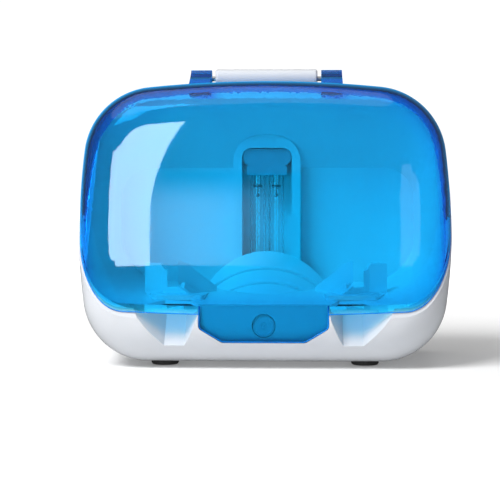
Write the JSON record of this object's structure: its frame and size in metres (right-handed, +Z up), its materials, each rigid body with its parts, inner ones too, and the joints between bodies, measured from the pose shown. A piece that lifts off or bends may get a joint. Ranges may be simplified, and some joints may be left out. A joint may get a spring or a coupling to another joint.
{
  "type": "toothbrush sanitizer",
  "caption": "Table-top UV toothbrush sanitizer: white pillow-shaped housing, hinged clear blue lid with latch tab, U lamp in an arched tower, brush guides and handle channels.",
  "frame": {"origin": "on the table under the middle of the object's bounding box", "axes": "+X to the object's left-to-right as seen from the front, -Y out of the lid's front, +Z up"},
  "size_m": [0.1868, 0.0944, 0.1471],
  "materials": {
    "white_shell": "smooth glossy white moulding",
    "clear_blue": "clear tinted polycarbonate",
    "white_liner": "satin white moulding",
    "quartz": "clear fused quartz",
    "electrode": "nickel wire",
    "lamp_base": "dark heat-resistant plastic",
    "plunger_grey": "grey acetal",
    "bracket_white": "plain white moulding",
    "steel": "zinc-plated steel",
    "spring_steel": "music wire",
    "black_plastic": "moulded black",
    "board_green": "solder-masked laminate",
    "transformer_tape": "yellow taped ferrite",
    "capacitor_can": "sleeved aluminium can",
    "wire_white": "silicone sleeving",
    "wire_red": "PVC sleeving",
    "rubber_black": "moulded rubber"
  },
  "bodies": {
    "base": {"main_housing": "white_shell", "rear_cover": "white_shell", "inner_liner": "white_liner", "lamp_tower": "white_liner", "lamp_foot_cowl": "white_liner", "brush_guide_left": "white_liner", "brush_guide_right": "white_liner", "hinge_pin_left": "steel", "hinge_pin_right": "steel", "lamp_tube": "quartz", "lamp_electrodes": "electrode", "lamp_cap": "lamp_base", "lamp_socket": "lamp_base", "lamp_leads": "wire_white", "plunger_guide": "bracket_white", "plunger_spring": "spring_steel", "safety_switch": "black_plastic", "switch_lead": "wire_red", "circuit_board": "board_green", "ballast_transformer": "transformer_tape", "capacitors": "capacitor_can", "lamp_connector": "bracket_white", "board_spacers": "bracket_white", "board_screws": "steel", "rear_screws": "steel", "dc_inlet": "black_plastic", "power_lead": "wire_red", "foot_front_left": "rubber_black", "foot_front_right": "rubber_black", "foot_back_left": "rubber_black", "foot_back_right": "rubber_black"},
    "lid": {"lid": "clear_blue"},
    "plunger": {"safety_plunger": "plunger_grey"}
  },
  "joints": [
    {"name": "lid_hinge", "type": "hinge", "parent": "base", "child": "lid", "pos_m": [0, 0.018, 0.1423], "axis": [-1, 0, 0], "range_deg": [0, 110]},
    {"name": "plunger_slide", "type": "slide", "parent": "base", "child": "plunger", "axis": [0, -1, 0], "range_m": [0, 0.002], "deforming": ["plunger_spring"]}
  ],
  "couplings": [
    {"joint": "plunger_slide", "follows": "lid_hinge", "m_per_rad": 0.0010417}
  ]
}
